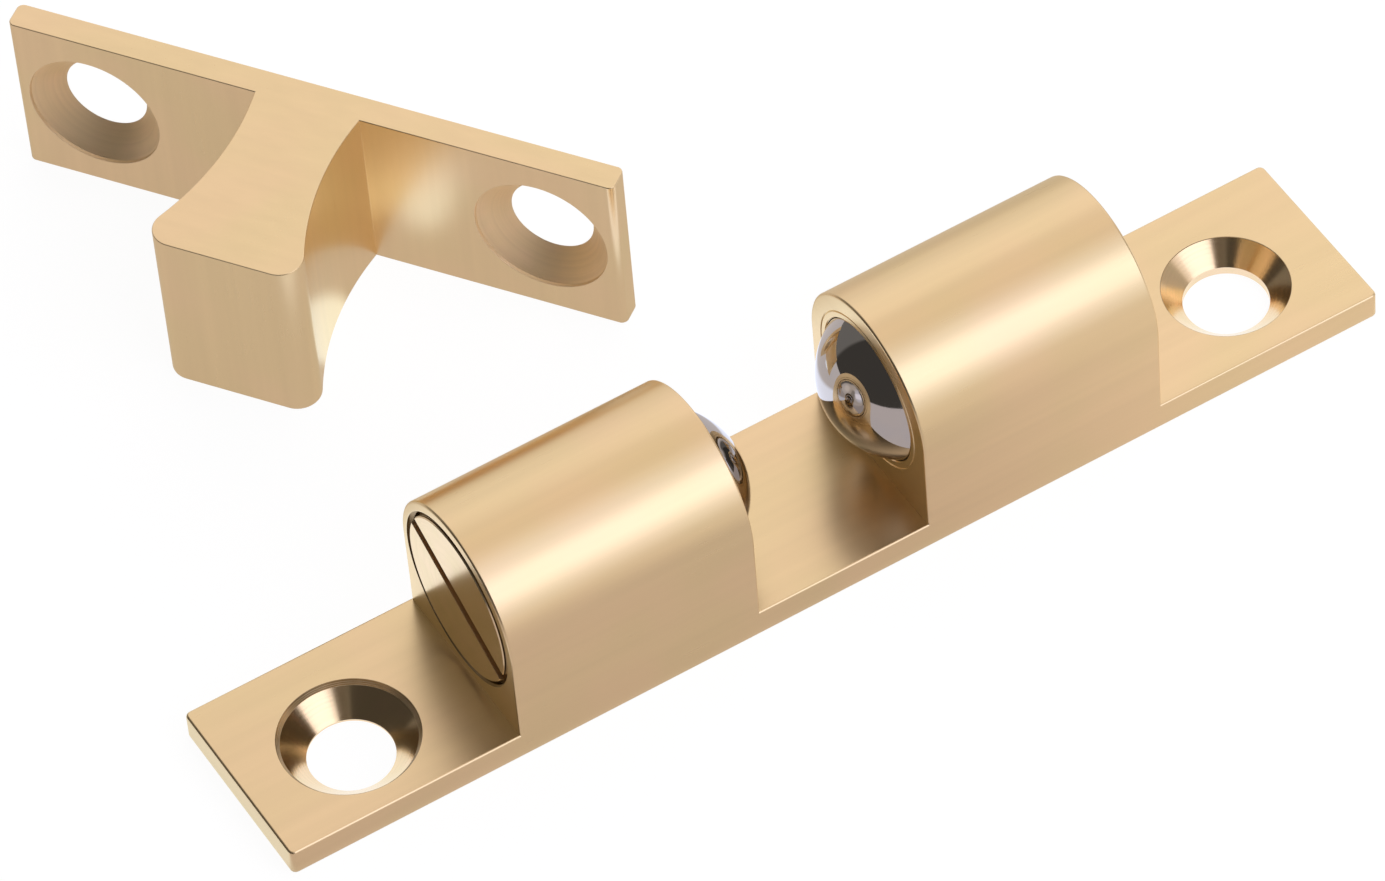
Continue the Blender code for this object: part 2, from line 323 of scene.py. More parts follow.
def machined(bm: bmesh.types.BMesh, tools: Sequence[tuple[bmesh.types.BMesh, Cut]],
             slots: int) -> bmesh.types.BMesh:
    """Work a shape with Boolean tools, one after another.

    The tools' meshes differ from run to run in the last digit of their places, and now and then the
    solver then leaves part of a tool standing as metal. That leaves open seams, and the cuts are made
    again with each tool moved by a few thousandths of a millimetre.

    Args:
        bm: the blank, which is used up.
        tools: each tool's shape, already in place, and what it does.
        slots: number of material slots that the faces of blank and tools refer to.

    Returns:
        The worked shape.
    """
    spare = [bpy.data.materials.new("spare_slot") for _ in range(slots)]
    blank = piece_from(bm, "blank", spare, level_faces=False)
    made = [blank]
    for number, (tool_bm, kind) in enumerate(tools):
        tool = piece_from(tool_bm, f"tool_{number}", spare, level_faces=False)
        boolean = blank.modifiers.new(tool.name, "BOOLEAN")
        boolean.operation = kind.value
        boolean.object = tool
        boolean.solver = "EXACT"
        boolean.material_mode = "INDEX"
        made.append(tool)
    worked = bmesh.new()
    for attempt in range(MOST_TRIES):
        worked.clear()
        for number, tool in enumerate(made[1:]):
            phase = number + attempt
            way = Vector((math.cos(phase), math.sin(phase), math.sin(2 * phase)))
            tool.location = attempt * NUDGE * way
        blank.update_tag(refresh={"DATA"})
        worked.from_object(blank, bpy.context.evaluated_depsgraph_get())
        bmesh.ops.remove_doubles(worked, verts=worked.verts, dist=MERGE_DISTANCE)
        seams = sum(not edge.is_manifold for edge in worked.edges)
        if not seams:
            break
        LOG.warning("try %d of the cuts left %d open seams", attempt + 1, seams)
    for used in made:
        mesh = used.data
        bpy.data.objects.remove(used)
        bpy.data.meshes.remove(mesh)
    for material in spare:
        bpy.data.materials.remove(material)
    return worked


# Filling node trees


class Graph:
    """A node tree that is being filled."""

    def __init__(self, tree: bpy.types.NodeTree) -> None:
        """Take the tree to fill."""
        self.tree = tree

    def add(self, kind: str, inputs: dict[str | int, object] | None = None,
            **settings: object) -> bpy.types.Node:
        """Add a node.

        Args:
            kind: the node's type without the word ShaderNode.
            inputs: what feeds each input, a socket to link or a plain value.
            settings: the node's own properties.

        Returns:
            The new node.
        """
        node = self.tree.nodes.new("ShaderNode" + kind)
        for name, value in settings.items():
            setattr(node, name, value)
        for key, value in (inputs or {}).items():
            self.feed(node.inputs[key], value)
        return node

    def feed(self, target: Socket, value: object) -> None:
        """Link a socket to an input, or set the input's plain value."""
        if isinstance(value, bpy.types.NodeSocket):
            self.tree.links.new(value, target)
        elif target.type == "RGBA" and len(value) == 3:
            target.default_value = (*value, 1.0)
        else:
            target.default_value = value

    def math(self, operation: str, *values: object) -> Socket:
        """Work out one number from others."""
        return self.add("Math", dict(enumerate(values)), operation=operation).outputs[0]

    def vector(self, operation: str, *values: object) -> bpy.types.Node:
        """Work out one vector or number from vectors."""
        return self.add("VectorMath", dict(enumerate(values)), operation=operation)

    def parts(self, vector: Socket) -> bpy.types.bpy_prop_collection:
        """Split a vector into its parts X, Y and Z."""
        return self.add("SeparateXYZ", {"Vector": vector}).outputs

    def joined(self, **parts: object) -> Socket:
        """Join parts named X, Y and Z to a vector, with 0 for those left out."""
        return self.add("CombineXYZ", parts).outputs["Vector"]

    def fade(self, value: Socket, low: float, high: float, start: float = 0.0,
             end: float = 1.0) -> Socket:
        """Move smoothly from one value to another as a number goes from low to high."""
        inputs = {"Value": value, "From Min": low, "From Max": high, "To Min": start, "To Max": end}
        return self.add("MapRange", inputs, interpolation_type="SMOOTHSTEP").outputs["Result"]

    def scaled(self, value: Socket, start: float, end: float) -> Socket:
        """Spread a number from 0 to 1 over another range."""
        return self.math("MULTIPLY_ADD", value, end - start, start)

    def blend(self, factor: object, first: object, second: object, how: str = "MIX") -> Socket:
        """Mix two colours."""
        node = self.add("Mix", data_type="RGBA", blend_type=how, clamp_factor=True)
        colours = [s for s in node.inputs if s.type == "RGBA"]
        self.feed(node.inputs["Factor"], factor)
        self.feed(colours[0], first)
        self.feed(colours[1], second)
        return next(s for s in node.outputs if s.type == "RGBA")

    def noise(self, vector: Socket, scale: float, detail: float = 2.0,
              roughness: float = 0.5) -> Socket:
        """Cloudy noise between 0 and 1 over a vector."""
        inputs = {"Vector": vector, "Scale": scale, "Detail": detail, "Roughness": roughness}
        return self.add("TexNoise", inputs, noise_dimensions="3D").outputs["Fac"]

    def stretched(self, vector: Socket, factors: Sequence[float]) -> Socket:
        """Multiply a vector part by part."""
        return self.vector("MULTIPLY", vector, tuple(factors)).outputs["Vector"]

    def effect(self, group: bpy.types.NodeTree, **inputs: object) -> bpy.types.Node:
        """Place one of the shared effects, with its inputs named with underscores for spaces."""
        node = self.add("Group", node_tree=group)
        for name, value in inputs.items():
            self.feed(node.inputs[name.replace("_", " ")], value)
        return node


class Effect:
    """A shader node group that is being built, with its inputs and outputs named."""

    def __init__(self, name: str, inputs: dict[str, object], outputs: dict[str, str]) -> None:
        """Make the group's sockets.

        Args:
            name: the group's name.
            inputs: default value of each input, or None for a vector.
            outputs: kind of each output, Float, Color or Vector.
        """
        self.tree = bpy.data.node_groups.new(name, "ShaderNodeTree")
        for label, default in inputs.items():
            kind = "NodeSocketVector" if default is None else "NodeSocketFloat"
            if isinstance(default, tuple):
                kind = "NodeSocketColor"
            socket = self.tree.interface.new_socket(label, in_out="INPUT", socket_type=kind)
            if default is not None:
                socket.default_value = (*default, 1.0) if isinstance(default, tuple) else default
        for label, kind in outputs.items():
            self.tree.interface.new_socket(label, in_out="OUTPUT", socket_type="NodeSocket" + kind)
        self.graph = Graph(self.tree)
        self.inputs = self.tree.nodes.new("NodeGroupInput").outputs
        self.outputs = self.tree.nodes.new("NodeGroupOutput").inputs

    def give(self, **results: Socket) -> bpy.types.NodeTree:
        """Link the results to the outputs of the same names and return the finished group."""
        for name, socket in results.items():
            self.graph.feed(self.outputs[name.replace("_", " ")], socket)
        return self.tree


# Effects that several finishes share


@functools.cache
def drawn_grain() -> bpy.types.NodeTree:
    """Fine and broad streaks along X with slow clouds, as on drawn bar and wire."""
    effect = Effect("drawn_grain", {"Vector": None, "Stretch": 0.03},
                    {"Fine": "Float", "Broad": "Float", "Cloud": "Float"})
    graph = effect.graph
    parts = graph.parts(effect.inputs["Vector"])
    along = graph.math("MULTIPLY", parts["X"], effect.inputs["Stretch"])
    run = graph.joined(X=along, Y=parts["Y"], Z=parts["Z"])
    return effect.give(
        Fine=graph.noise(run, scale=11.0, detail=3.0, roughness=0.65),
        Broad=graph.noise(run, scale=1.5, detail=2.0),
        Cloud=graph.noise(effect.inputs["Vector"], scale=0.17, detail=1.5),
    )


@functools.cache
def turning_marks() -> bpy.types.NodeTree:
    """Rings and radial chatter that a cutter leaves on a face it turns, about local Z."""
    effect = Effect("turning_marks", {"Vector": None, "Ring Scale": 9.0, "Chatter Scale": 6.0},
                    {"Rings": "Float", "Chatter": "Float"})
    ring_wander, spoke_drift = 0.35, 0.5
    graph = effect.graph
    parts = graph.parts(effect.inputs["Vector"])
    flat = graph.joined(X=parts["X"], Y=parts["Y"])
    radius = graph.vector("LENGTH", flat).outputs["Value"]
    heading = graph.vector("NORMALIZE", flat).outputs["Vector"]
    turn = graph.stretched(heading, (ring_wander, ring_wander, 0.0))
    ring = graph.joined(Z=graph.math("MULTIPLY", radius, effect.inputs["Ring Scale"]))
    rings = graph.noise(graph.vector("ADD", turn, ring).outputs["Vector"], scale=1.0, detail=2.0)
    spokes = graph.vector("SCALE", heading)
    graph.feed(spokes.inputs["Scale"], effect.inputs["Chatter Scale"])
    reach = graph.joined(Z=graph.math("MULTIPLY", radius, spoke_drift))
    spoke = graph.vector("ADD", spokes.outputs["Vector"], reach).outputs["Vector"]
    chatter = graph.noise(spoke, scale=1.0, detail=3.0, roughness=0.6)
    return effect.give(Rings=rings, Chatter=chatter)


@functools.cache
def edge_rub() -> bpy.types.NodeTree:
    """Where handling has polished the outer edges."""
    effect = Effect("edge_rub", {"Vector": None, "Amount": 1.0}, {"Rub": "Float"})
    graph = effect.graph
    rounded = graph.add("Bevel", {"Radius": 0.10 * MM}, samples=6).outputs["Normal"]
    own = graph.add("NewGeometry").outputs["Normal"]
    bend = graph.math("SUBTRACT", 1.0, graph.vector("DOT_PRODUCT", rounded, own).outputs["Value"])
    worn = graph.fade(bend, low=0.01, high=0.18)
    cloud = graph.noise(effect.inputs["Vector"], scale=0.9, detail=3.0)
    patch = graph.fade(cloud, low=0.36, high=0.62, start=0.35)
    rub = graph.math("MULTIPLY", graph.math("MULTIPLY", worn, patch), effect.inputs["Amount"])
    return effect.give(Rub=rub)


@functools.cache
def hairlines() -> bpy.types.NodeTree:
    """Sparse fine scratches that run in two directions."""
    effect = Effect("hairlines", {"Vector": None, "Density": 1.0}, {"Scratch": "Float"})
    graph, vector = effect.graph, effect.inputs["Vector"]
    tip = 0.3
    found = []
    for turn, reach in ((0.6, (0.25, 5.5, 0.6)), (-1.1, (0.18, 4.2, 0.5))):
        turned = graph.add("Mapping", {"Vector": vector, "Rotation": (tip, turn, turn)})
        cloud = graph.noise(graph.stretched(turned.outputs["Vector"], reach), scale=1.0, detail=1.0)
        ridge = graph.math("ABSOLUTE", graph.math("SUBTRACT", cloud, 0.5))
        found.append(graph.fade(ridge, low=0.0, high=0.006, start=1.0, end=0.0))
    here = graph.fade(graph.noise(vector, scale=0.35, detail=2.0), low=0.5, high=0.66)
    lines = graph.math("MULTIPLY", graph.math("MAXIMUM", *found), here)
    return effect.give(Scratch=graph.math("MULTIPLY", lines, effect.inputs["Density"]))


@functools.cache
def metal_tone() -> bpy.types.NodeTree:
    """The metal's colour between a cool and a warm tone, dark in streaks and light where rubbed."""
    effect = Effect(
        "metal_tone",
        {"Cool": (0.8, 0.6, 0.35), "Warm": (0.85, 0.62, 0.38), "Cloud": 0.5, "Streak": 0.5,
         "Rub": 0.0, "Depth": 0.08},
        {"Color": "Color"},
    )
    rub_lift, rub_tint = 0.35, (1.0, 0.93, 0.78)
    graph, given = effect.graph, effect.inputs
    share = graph.fade(given["Cloud"], low=0.35, high=0.65)
    tone = graph.blend(share, given["Cool"], given["Warm"])
    dark = graph.math("SUBTRACT", 0.5, given["Streak"])
    level = graph.math("MULTIPLY_ADD", dark, given["Depth"], 1.0)
    grey = graph.add("CombineColor", {"Red": level, "Green": level, "Blue": level}).outputs["Color"]
    streaked = graph.blend(1.0, tone, grey, "MULTIPLY")
    lift = graph.math("MULTIPLY", given["Rub"], rub_lift)
    return effect.give(Color=graph.blend(lift, streaked, rub_tint))


# Finishes

BRASS_EDGE: Colour = (1.0, 0.97, 0.82)
STEEL_EDGE: Colour = (1.0, 1.0, 1.0)


def local_millimetres(graph: Graph, centre: Sequence[float] = ORIGIN,
                      rotation: Sequence[float] = ORIGIN) -> Socket:
    """Read a piece's own coordinates in millimetres, centred and turned for a pattern.

    Args:
        graph: the material's graph.
        centre: the pattern's centre.
        rotation: its turn as Euler angles.

    Returns:
        The vector that the pattern reads.
    """
    found = graph.add("TexCoord").outputs["Object"]
    inputs = {"Vector": found, "Location": tuple(centre), "Rotation": tuple(rotation),
              "Scale": (MM, MM, MM)}
    return graph.add("Mapping", inputs, vector_type="TEXTURE").outputs["Vector"]


class Metal:
    """A metal that is being made up, with its graph and the place that its patterns read."""

    def __init__(self, name: str, edge: Colour, centre: Sequence[float] = ORIGIN,
                 rotation: Sequence[float] = ORIGIN) -> None:
        """Start the metal.

        Args:
            name: the material's name.
            edge: tint of what it mirrors at a glancing angle.
            centre: the centre of its patterns.
            rotation: their turn as Euler angles.
        """
        self.material = bpy.data.materials.new(name)
        self.material.use_nodes = True
        self.shader = self.material.node_tree.nodes["Principled BSDF"]
        self.shader.inputs["Metallic"].default_value = 1.0
        self.shader.inputs["Specular Tint"].default_value = (*edge, 1.0)
        self.graph = Graph(self.material.node_tree)
        self.place = local_millimetres(self.graph, centre, rotation)

    def finished(self, tone: dict[str, object], rough: Socket, height: Socket, strength: float,
                 depth: float) -> bpy.types.Material:
        """Give the metal its colour, its roughness and its fine relief.

        Args:
            tone: what the tone's own inputs are fed with.
            rough: the roughness.
            height: height of the relief.
            strength: share of the relief that shows.
            depth: depth of the full relief.

        Returns:
            The finished material.
        """
        colour = self.graph.effect(metal_tone(), **tone).outputs["Color"]
        bump = self.graph.add("Bump", {"Height": height, "Strength": strength, "Distance": depth})
        self.graph.feed(self.shader.inputs["Base Color"], colour)
        self.graph.feed(self.shader.inputs["Roughness"], rough)
        self.graph.feed(self.shader.inputs["Normal"], bump.outputs["Normal"])
        return self.material


@dataclass(frozen=True)
class DrawnBrass:
    """Satin brass with the soft streaks of drawn bar along it."""

    name: str
    rotation: tuple[float, float, float] = ORIGIN
    stretch: float = 0.03
    cool: Colour = (0.845, 0.655, 0.375)
    warm: Colour = (0.875, 0.655, 0.390)
    streak_depth: float = 0.10
    roughness: float = 0.27
    roughness_spread: float = 0.06
    cloud_haze: float = 0.04
    rub_polish: float = 0.06
    scratches: float = 0.12
    scratch_haze: float = 0.10
    scratch_depth: float = 0.6
    bump: float = 0.015

    def material(self) -> bpy.types.Material:
        """Build the finish with its grain along the bar."""
        metal = Metal(self.name, BRASS_EDGE, rotation=self.rotation)
        graph, place = metal.graph, metal.place
        grain = graph.effect(drawn_grain(), Vector=place, Stretch=self.stretch).outputs
        rub = graph.effect(edge_rub(), Vector=place).outputs["Rub"]
        scratch = graph.effect(hairlines(), Vector=place, Density=self.scratches).outputs["Scratch"]
        tone = {"Cool": self.cool, "Warm": self.warm, "Cloud": grain["Cloud"],
                "Streak": grain["Broad"], "Rub": rub, "Depth": self.streak_depth}
        low = self.roughness - self.roughness_spread / 2
        rough = graph.scaled(grain["Fine"], low, low + self.roughness_spread)
        rough = graph.math("MULTIPLY_ADD", grain["Cloud"], self.cloud_haze, rough)
        rough = graph.math("MULTIPLY_ADD", rub, -self.rub_polish, rough)
        rough = graph.math("MULTIPLY_ADD", scratch, self.scratch_haze, rough)
        height = graph.math("MULTIPLY_ADD", scratch, -self.scratch_depth, grain["Fine"])
        return metal.finished(tone, rough, height, self.bump, 0.01 * MM)


@dataclass(frozen=True)
class CutBrass:
    """Bright brass straight from the cutter, with rings and a little chatter."""

    name: str
    centre: tuple[float, float, float] = ORIGIN
    rotation: tuple[float, float, float] = ORIGIN
    mirrored_at: float = 0.0
    cool: Colour = (0.85, 0.650, 0.375)
    warm: Colour = (0.89, 0.655, 0.395)
    ring_tone: float = 0.12
    rub: float = 0.7
    roughness: float = 0.16
    roughness_range: tuple[float, float] = (-0.03, 0.05)
    ring_scale: float = 11.0
    chatter_scale: float = 9.0
    ring_bump: float = 0.08
    chatter_bump: float = 0.02

    def material(self) -> bpy.types.Material:
        """Build the finish about its axis, or about two axes if it is mirrored."""
        metal = Metal(self.name, BRASS_EDGE, self.centre, self.rotation)
        graph, place = metal.graph, metal.place
        if self.mirrored_at:
            parts = graph.parts(place)
            aside = graph.math("ABSOLUTE", parts["X"])
            across = graph.math("SUBTRACT", aside, self.mirrored_at / MM)
            place = graph.joined(X=across, Y=parts["Y"], Z=parts["Z"])
        marks = graph.effect(turning_marks(), Vector=place, Ring_Scale=self.ring_scale,
                             Chatter_Scale=self.chatter_scale).outputs
        rub = graph.effect(edge_rub(), Vector=place, Amount=self.rub).outputs["Rub"]
        tone = {"Cool": self.cool, "Warm": self.warm, "Streak": marks["Rings"], "Rub": rub,
                "Cloud": graph.noise(place, scale=0.6, detail=2.0), "Depth": self.ring_tone}
        low, high = self.roughness_range
        rough = graph.scaled(marks["Rings"], self.roughness + low, self.roughness + high)
        chatter = self.chatter_bump / self.ring_bump
        height = graph.math("MULTIPLY_ADD", marks["Chatter"], chatter, marks["Rings"])
        return metal.finished(tone, rough, height, self.ring_bump, 0.02 * MM)


@dataclass(frozen=True)
class PolishedSteel:
    """Bearing steel with a mirror polish and the faintest handling marks."""

    name: str
    centre: tuple[float, float, float]
    cool: Colour = (0.585, 0.560, 0.545)
    warm: Colour = (0.615, 0.575, 0.540)
    cloud_tone: float = 0.05
    roughness: float = 0.03
    smear: float = 0.035
    scratches: float = 0.5
    scratch_haze: float = 0.12
    bump: float = 0.04

    def material(self) -> bpy.types.Material:
        """Build the polish."""
        metal = Metal(self.name, STEEL_EDGE, self.centre)
        graph, place = metal.graph, metal.place
        cloud = graph.noise(place, scale=0.5, detail=3.0)
        scratch = graph.effect(hairlines(), Vector=place, Density=self.scratches).outputs["Scratch"]
        tone = {"Cool": self.cool, "Warm": self.warm, "Cloud": cloud, "Streak": cloud,
                "Depth": self.cloud_tone}
        smear = graph.fade(cloud, low=0.45, high=0.7, start=self.roughness,
                           end=self.roughness + self.smear)
        rough = graph.math("MULTIPLY_ADD", scratch, self.scratch_haze, smear)
        return metal.finished(tone, rough, scratch, self.bump, 0.005 * MM)


@dataclass(frozen=True)
class SpringWire:
    """Drawn spring wire, grey with darker die lines."""

    name: str
    centre: tuple[float, float, float]
    cool: Colour = (0.40, 0.41, 0.43)
    warm: Colour = (0.46, 0.44, 0.42)
    line_tone: float = 0.3
    roughness: float = 0.30
    roughness_range: tuple[float, float] = (-0.05, 0.1)
    line_scale: float = 14.0
    bump: float = 0.1

    def material(self) -> bpy.types.Material:
        """Build the wire's finish, whose lines run round the coil."""
        metal = Metal(self.name, STEEL_EDGE, self.centre, (0.0, QUARTER_TURN, 0.0))
        graph, place = metal.graph, metal.place
        lines = graph.effect(turning_marks(), Vector=place, Ring_Scale=self.line_scale,
                             Chatter_Scale=1.0).outputs["Rings"]
        tone = {"Cool": self.cool, "Warm": self.warm, "Streak": lines, "Depth": self.line_tone,
                "Cloud": graph.noise(place, scale=0.8, detail=2.0)}
        low, high = self.roughness_range
        rough = graph.scaled(lines, self.roughness + low, self.roughness + high)
        return metal.finished(tone, rough, lines, self.bump, 0.01 * MM)


# Sub-assemblies


@dataclass
class Countersink:
    """The tool for a countersunk screw hole, whose mouth may have a steep grooved wall."""

    sink_radius: float
    plate_thickness: float
    grooves: int = 0
    groove_width: float = 0.055 * MM
    groove_depth: float = 0.075 * MM
    hole_radius: float = 2.1 * MM
    lip: float = 0.03 * MM
    lip_bow: float = 0.3
    groove_run: float = 0.6
    groove_drop: float = 0.9
    slope: float = 1.0
    steps: int = 128

    @property
    def ledge(self) -> float:
        """Radius at the foot of the steep wall, where the cone begins."""
        return self.sink_radius - self.grooves * self.groove_width

    def tool(self, slot: int, wall_slot: int) -> bmesh.types.BMesh:
        """Turn the tool with its mouth towards +Z and the plate's top face at the origin.

        Args:
            slot: material slot of the cone and the hole.
            wall_slot: material slot of the steep wall.

        Returns:
            The tool's shape.
        """
        rim, hole = self.sink_radius, self.hole_radius
        foot = self.lip + self.grooves * self.groove_depth
        throat = foot + self.slope * (self.ledge - hole)
        far = self.plate_thickness + CUT_MARGIN
        outline = Outline((0.0, 0.0, CUT_MARGIN), Y_AXIS)
        outline.to((rim + self.lip, 0.0, CUT_MARGIN), (rim + self.lip, 0.0, 0.0),
                   (rim + self.lip_bow * self.lip, 0.0, -self.lip_bow * self.lip),
                   (rim, 0.0, -self.lip))
        for groove in range(self.grooves):
            edge, level = rim - groove * self.groove_width, -self.lip - groove * self.groove_depth
            run, drop = self.groove_run * self.groove_width, self.groove_drop * self.groove_depth
            outline.to((edge - run, 0.0, level - drop),
                       (edge - self.groove_width, 0.0, level - self.groove_depth))
        outline.to((hole, 0.0, -throat), (hole, 0.0, -far), (0.0, 0.0, -far))
        bm = in_slot(outline.turned(Z_AXIS, self.steps), slot)
        for face in bm.faces:
            middle = face.calc_center_median()
            if middle.z < 0.0 and middle.xy.length > self.ledge:
                face.material_index = wall_slot
        return bm


@dataclass
class Bore:
    """The bore of one tower: a round seat for the ball, and a thread for the screw."""

    ball_offset: float
    ball_radius: float
    tower_inner: float
    tower_outer: float
    ball_play: float = 0.035 * MM
    seat_length: float = 0.3 * MM
    radius: float = 4.45 * MM
    thread_depth: float = 0.18 * MM
    thread_length: float = 5.2 * MM
    thread_sink: float = 0.05 * MM
    mouth_chamfer: float = 0.05 * MM
    end_chamfer: float = 0.05 * MM
    overcut: float = 0.02 * MM
    lip_offset: float = 0.38 * MM
    lip_width: float = 0.10 * MM
    lip_depth: float = 0.04 * MM
    steps: int = 128

    @property
    def seat_radius(self) -> float:
        """Radius of the round seat and of the short run behind it."""
        return self.ball_radius + self.ball_play

    @property
    def mouth_radius(self) -> float:
        """Radius of the opening that keeps the ball in."""
        return math.sqrt(self.seat_radius ** 2 - (self.ball_offset - self.tower_inner) ** 2)

    def drill(self, slot: int) -> bmesh.types.BMesh:
        """Turn the bore and its mouth, with the ball's centre at the origin and the screw at +X."""
        start, end = self.tower_inner - self.ball_offset, self.tower_outer - self.ball_offset
        seat, inner = self.seat_radius, start + self.mouth_chamfer
        rim = math.sqrt(seat ** 2 - inner ** 2)
        wide = rim + self.mouth_chamfer + self.overcut
        drill = Outline((start - CUT_MARGIN, 0.0, 0.0), Y_AXIS)
        drill.to((start - CUT_MARGIN, 0.0, wide), (start - self.overcut, 0.0, wide),
                 (inner, 0.0, rim))
        drill.arc((0.0, 0.0, 0.0), math.atan2(-inner, rim), self.steps // 8)
        drill.to(
            (self.seat_length, 0.0, seat),
            (self.seat_length + self.radius - seat, 0.0, self.radius),
            (end - self.end_chamfer, 0.0, self.radius),
            (end + self.overcut, 0.0, self.radius + self.end_chamfer + self.overcut),
            (end + CUT_MARGIN, 0.0, self.radius + self.end_chamfer + self.overcut),
            (end + CUT_MARGIN, 0.0, 0.0),
        )
        return in_slot(drill.turned(X_AXIS, self.steps), slot)

    def lip(self, slot: int) -> bmesh.types.BMesh:
        """Turn the shallow groove where the rim of the mouth was pressed over the ball."""
        start, middle = self.tower_inner - self.ball_offset, self.mouth_radius + self.lip_offset
        half = self.lip_width / 2
        groove = Outline((start + self.lip_depth, 0.0, middle), Y_AXIS)
        groove.to((start, 0.0, middle + half), (start - CUT_MARGIN, 0.0, middle + half),
                  (start - CUT_MARGIN, 0.0, middle - half), (start, 0.0, middle - half))
        return in_slot(groove.closed().turned(X_AXIS, self.steps), slot)

    def thread(self, slot: int) -> bmesh.types.BMesh:
        """Wind the groove for the screw from beyond the tower's end inwards."""
        end = self.tower_outer - self.ball_offset
        ridge = Thread().ridge(end - self.thread_length, end + Thread.pitch,
                               self.radius - self.thread_sink, self.radius + self.thread_depth)
        return in_slot(ridge, slot)


@dataclass
class CatchBody:
    """The milled plate with its two towers."""

    end: float
    half_width: float
    top: float
    ball_offset: float
    ball_radius: float
    plate_thickness: float = 1.5 * MM
    tower_inner: float = 4.65 * MM
    tower_outer: float = 17.7 * MM
    corner_radius: float = 0.3 * MM
    edge_break: float = 0.13 * MM
    gap_depth: float = 0.4 * MM
    hole_inset: float = 5.7 * MM
    hole_shift: float = -0.5 * MM
    sink_radii: tuple[float, float] = (3.4 * MM, 3.12 * MM)
    sink_grooves: tuple[int, int] = (3, 0)
    crown_steps: int = 96
    corner_steps: int = 8

    @property
    def bore_height(self) -> float:
        """Height of the bores' axis, where the flanks turn into the crown."""
        return self.top - self.half_width

    def blank(self) -> bmesh.types.BMesh:
        """Extrude the horseshoe section over the whole length."""
        low = Vector((-self.end, self.half_width, 0.0))
        section = Outline(low, X_AXIS).to((-self.end, self.half_width, self.bore_height))
        section.arc((-self.end, 0.0, self.bore_height), math.pi, self.crown_steps)
        section.to((-self.end, -self.half_width, 0.0))
        return section.extruded((2 * self.end, 0.0, 0.0))

    def mills(self) -> list[bmesh.types.BMesh]:
        """Blocks that clear the gap and both ends down to the plate."""
        side = self.half_width + CUT_MARGIN
        stretches = (
            (-self.end - CUT_MARGIN, -self.tower_outer),
            (-self.tower_inner, self.tower_inner),
            (self.tower_outer, self.end + CUT_MARGIN),
        )
        return [
            block((start, -side, self.plate_thickness), (stop, side, self.top + CUT_MARGIN))
            for start, stop in stretches
        ]

    def corner_tools(self) -> list[bmesh.types.BMesh]:
        """Tools that round the plate's four upright corners."""
        radius, far = self.corner_radius, self.corner_radius + CUT_MARGIN
        tools = []
        for quarter, (x, y) in enumerate(((1, 1), (-1, 1), (-1, -1), (1, -1))):
            outline = Outline((radius, 0.0, -CUT_MARGIN), Z_AXIS)
            outline.arc((0.0, 0.0, -CUT_MARGIN), QUARTER_TURN, self.corner_steps)
            outline.to((0.0, far, -CUT_MARGIN), (far, far, -CUT_MARGIN), (far, 0.0, -CUT_MARGIN))
            tool = outline.extruded((0.0, 0.0, self.plate_thickness + 2 * CUT_MARGIN))
            centre = (x * (self.end - radius), y * (self.half_width - radius), 0.0)
            turn = Matrix.Rotation(quarter * QUARTER_TURN, 4, "Z")
            tools.append(placed(tool, Matrix.Translation(centre) @ turn))
        return tools

    def build(self) -> bpy.types.Object:
        """Mill, round, drill and countersink the bar, and dress it."""
        mills = self.mills() + self.corner_tools()
        milled = machined(self.blank(), [(tool, Cut.REMOVE) for tool in mills], 1)
        soften(milled, self.edge_break)
        sinks, bores, threads = [], [], []
        bore = Bore(self.ball_offset, self.ball_radius, self.tower_inner, self.tower_outer)
        for side, radius, grooves in zip(Side, self.sink_radii, self.sink_grooves):
            across = side.value * (self.end - self.hole_inset)
            place = Matrix.Translation((across, self.hole_shift, self.plate_thickness))
            sink = Countersink(radius, self.plate_thickness, grooves)
            # The sink's steep wall takes slot 4, brass darkened with painted shade.
            sinks.append(placed(sink.tool(1, 4), place))
            facing = side.facing(self.ball_offset, self.bore_height)
            bores += [placed(tool, facing) for tool in (bore.drill(2), bore.lip(3))]
            threads.append(placed(bore.thread(2), facing))
        tools = sinks + bores + threads
        shape = machined(milled, [(tool, Cut.REMOVE) for tool in tools], 5)
        reslot(shape, 0, 3, looks_along(X_AXIS))
        # Bore and thread faces near the outer end take slot 4, darkened with painted shade in the gap
        # round the screw.
        gap = self.tower_outer - self.gap_depth
        reslot(shape, 2, 4, lambda face: abs(face.calc_center_median().x) > gap)
        return piece_from(shape, "catch_body_milled", self.finishes())

    def finishes(self) -> list[bpy.types.Material]:
        """The body's materials: drawn faces, countersinks, bores, milled ends and a rim darkened with
        painted shade.
        """
        shift, across = (0.0, self.hole_shift, 0.0), self.end - self.hole_inset
        return [
            DrawnBrass("drawn_brass_catch").material(),
            CutBrass("countersunk_brass_catch", shift, mirrored_at=across).material(),
            CutBrass("bored_brass_catch", (0.0, 0.0, self.bore_height), (0.0, QUARTER_TURN, 0.0),
                     roughness=0.2).material(),
            DrawnBrass("milled_brass_catch", (0.0, 0.0, QUARTER_TURN), stretch=0.15).material(),
            # Dark brown stands in for shade: painted shade in the recesses of the sink wall and of
            # the bore's outer end.
            CutBrass("painted_shade_brass_catch", shift, mirrored_at=across, cool=(0.32, 0.23, 0.12),
                     warm=(0.42, 0.30, 0.17), roughness=0.28).material(),
        ]


